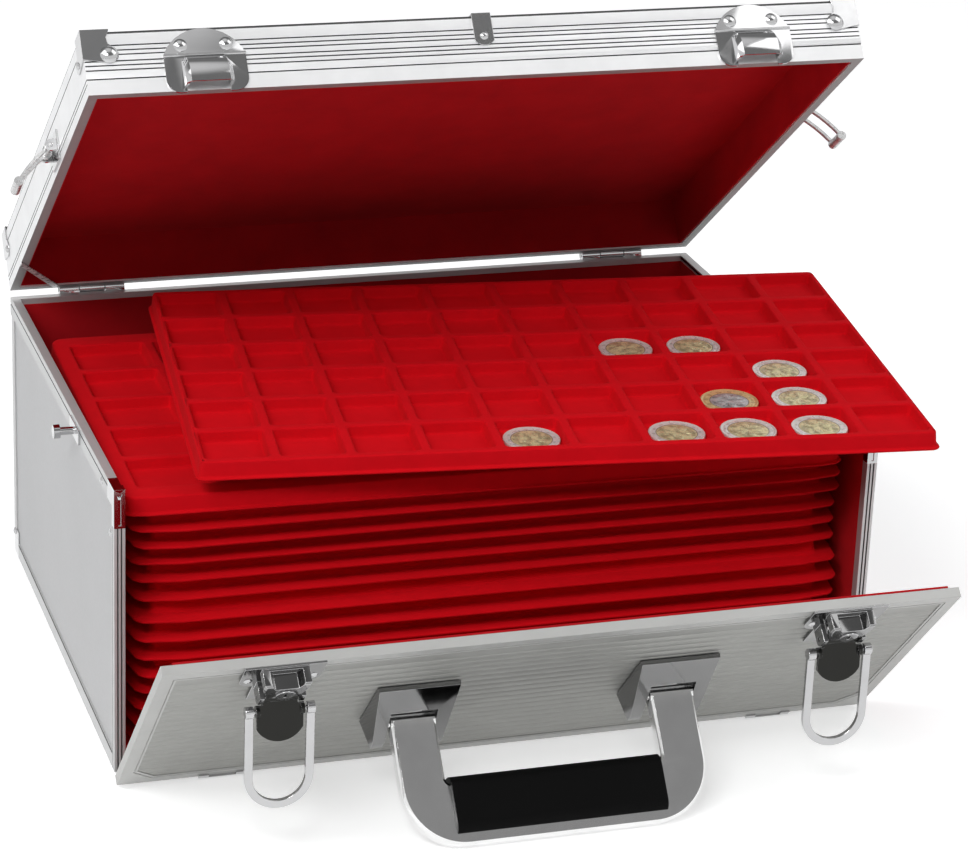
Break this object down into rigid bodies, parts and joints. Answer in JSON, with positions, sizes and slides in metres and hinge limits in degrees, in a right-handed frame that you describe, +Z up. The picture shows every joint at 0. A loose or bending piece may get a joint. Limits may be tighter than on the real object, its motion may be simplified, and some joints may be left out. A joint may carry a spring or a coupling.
{
  "type": "coin case",
  "caption": "Aluminium-edged coin case with a hinged lid, a let-down front flap with two toggle latches and a folding handle, over a stack of pocketed coin trays.",
  "frame": {"origin": "centre of the carcass underside, the plane of its lower edge rails; the feet reach 6 mm below it", "axes": "+X to the right seen from the front, +Y to the back, +Z up"},
  "size_m": [0.416, 0.3727, 0.3251],
  "materials": {
    "board": "light grey laminate over board",
    "lid_skin": "pale grey laminate over board",
    "alu": "satin anodised",
    "flute": "fluted grey sheet",
    "chrome": "polished",
    "pin": "plain",
    "lining": "deep red flock",
    "rubber": "black",
    "tray": "bright red pressed plastic",
    "grip": "black soft grip",
    "coin": "struck metal"
  },
  "bodies": {
    "case": {"base_board": "board", "left_side_board": "board", "right_side_board": "board", "back_board": "board", "rim_rails": "alu", "bottom_rails": "alu", "front_posts": "alu", "rear_posts": "alu", "case_corner_caps": "chrome", "rubber_feet": "rubber", "wall_linings": "lining", "floor_lining": "lining", "side_keepers": "chrome", "case_hinge_leaves": "chrome", "hinge_pins": "pin"},
    "lid": {"lid_panel": "lid_skin", "lid_rails": "alu", "lid_lining": "lining", "lid_corner_caps": "chrome", "strike_plates": "chrome", "lid_clip": "chrome", "lid_stay": "chrome", "lid_hinge_leaves": "chrome", "catch_bases": "chrome"},
    "flap": {"flap_board": "board", "flap_skin": "flute", "flap_trim": "alu", "flap_lining": "lining", "latch_bases": "chrome", "handle_brackets": "chrome", "flap_hinge_leaves": "chrome"},
    "side_catch_right": {"side_catch_right": "chrome"},
    "side_catch_left": {"side_catch_left": "chrome"},
    "latch_lever_right": {"latch_lever_right": "chrome"},
    "latch_lever_left": {"latch_lever_left": "chrome"},
    "latch_bail_right": {"latch_bail_right": "chrome"},
    "latch_bail_left": {"latch_bail_left": "chrome"},
    "lock_cylinder_right": {"lock_cylinder_right": "chrome"},
    "lock_cylinder_left": {"lock_cylinder_left": "chrome"},
    "handle": {"handle_bow": "alu", "handle_grip": "grip"},
    "tray_01": {"tray_01": "tray"},
    "tray_02": {"tray_02": "tray"},
    "tray_03": {"tray_03": "tray"},
    "tray_04": {"tray_04": "tray"},
    "tray_05": {"tray_05": "tray"},
    "tray_06": {"tray_06": "tray"},
    "tray_07": {"tray_07": "tray"},
    "tray_08": {"tray_08": "tray"},
    "tray_09": {"tray_09": "tray"},
    "tray_10": {"tray_10": "tray"},
    "tray_11": {"tray_11": "tray"},
    "tray_12": {"tray_12": "tray"},
    "tray_13": {"tray_13": "tray"},
    "tray_14": {"tray_14": "tray"},
    "loose_tray": {"loose_tray": "tray", "coins": "coin"}
  },
  "joints": [
    {"name": "lid_hinge", "type": "hinge", "parent": "case", "child": "lid", "pos_m": [0, 0.1292, 0.136], "axis": [1, 0, 0], "range_deg": [0, 37.87]},
    {"name": "flap_hinge", "type": "hinge", "parent": "case", "child": "flap", "pos_m": [0, -0.126, 0], "axis": [-1, 0, 0], "range_deg": [0, 43.49]},
    {"name": "handle_swing", "type": "hinge", "parent": "flap", "child": "handle", "pos_m": [0, -0.18275, 0.03948], "axis": [1, 0, 0], "range_deg": [0, 83.46]},
    {"name": "side_catch_right_swing", "type": "hinge", "parent": "lid", "child": "side_catch_right", "pos_m": [0.182, -0.00042, 0.2482], "axis": [0, 0.7894, -0.6139], "range_deg": [-45, 45]},
    {"name": "side_catch_left_swing", "type": "hinge", "parent": "lid", "child": "side_catch_left", "pos_m": [-0.182, -0.00042, 0.2482], "axis": [0, -0.7894, 0.6139], "range_deg": [-45, 45]},
    {"name": "latch_lever_right_swing", "type": "hinge", "parent": "flap", "child": "latch_lever_right", "pos_m": [0.126, -0.21248, 0.07372], "axis": [1, 0, 0], "range_deg": [-54, 45.5]},
    {"name": "latch_bail_right_swing", "type": "hinge", "parent": "latch_lever_right", "child": "latch_bail_right", "pos_m": [0.126, -0.21276, 0.06723], "axis": [-1, 0, 0], "range_deg": [-18, 130]},
    {"name": "lock_right_turn", "type": "hinge", "parent": "flap", "child": "lock_cylinder_right", "pos_m": [0.126, -0.22119, 0.07855], "axis": [0, -0.7255, -0.6882], "range_deg": [0, 90]},
    {"name": "latch_lever_left_swing", "type": "hinge", "parent": "flap", "child": "latch_lever_left", "pos_m": [-0.126, -0.21248, 0.07372], "axis": [1, 0, 0], "range_deg": [-54, 45.5]},
    {"name": "latch_bail_left_swing", "type": "hinge", "parent": "latch_lever_left", "child": "latch_bail_left", "pos_m": [-0.126, -0.21276, 0.06723], "axis": [-1, 0, 0], "range_deg": [-18, 130]},
    {"name": "lock_left_turn", "type": "hinge", "parent": "flap", "child": "lock_cylinder_left", "pos_m": [-0.126, -0.22119, 0.07855], "axis": [0, -0.7255, -0.6882], "range_deg": [0, 90]},
    {"name": "tray_01_slide", "type": "slide", "parent": "case", "child": "tray_01", "axis": [0, 1, 0], "range_m": [-0.011, 0]},
    {"name": "tray_02_slide", "type": "slide", "parent": "case", "child": "tray_02", "axis": [0, 1, 0], "range_m": [-0.021, 0]},
    {"name": "tray_03_slide", "type": "slide", "parent": "case", "child": "tray_03", "axis": [0, 1, 0], "range_m": [-0.026, 0]},
    {"name": "tray_04_slide", "type": "slide", "parent": "case", "child": "tray_04", "axis": [0, 1, 0], "range_m": [-0.036, 0]},
    {"name": "tray_05_slide", "type": "slide", "parent": "case", "child": "tray_05", "axis": [0, 1, 0], "range_m": [-0.042, 0]},
    {"name": "tray_06_slide", "type": "slide", "parent": "case", "child": "tray_06", "axis": [0, 1, 0], "range_m": [-0.049, 0]},
    {"name": "tray_07_slide", "type": "slide", "parent": "case", "child": "tray_07", "axis": [0, 1, 0], "range_m": [-0.056, 0]},
    {"name": "tray_08_slide", "type": "slide", "parent": "case", "child": "tray_08", "axis": [0, 1, 0], "range_m": [-0.067, 0]},
    {"name": "tray_09_slide", "type": "slide", "parent": "case", "child": "tray_09", "axis": [0, 1, 0], "range_m": [-0.08, 0]},
    {"name": "tray_10_slide", "type": "slide", "parent": "case", "child": "tray_10", "axis": [0, 1, 0], "range_m": [-0.088, 0]},
    {"name": "tray_11_slide", "type": "slide", "parent": "case", "child": "tray_11", "axis": [0, 1, 0], "range_m": [-0.095, 0]},
    {"name": "tray_12_slide", "type": "slide", "parent": "case", "child": "tray_12", "axis": [0, 1, 0], "range_m": [-0.15, 0]},
    {"name": "tray_13_slide", "type": "slide", "parent": "case", "child": "tray_13", "axis": [0, 1, 0], "range_m": [-0.15, 0]},
    {"name": "tray_14_slide", "type": "slide", "parent": "case", "child": "tray_14", "axis": [0, 1, 0], "range_m": [-0.15, 0]},
    {"name": "loose_tray_slide", "type": "slide", "parent": "case", "child": "loose_tray", "axis": [0, -1, 0], "range_m": [0, 0.3]}
  ],
  "couplings": [
    {"joint": "loose_tray_slide", "follows": "lid_hinge", "m_per_rad": 0.4535}
  ]
}
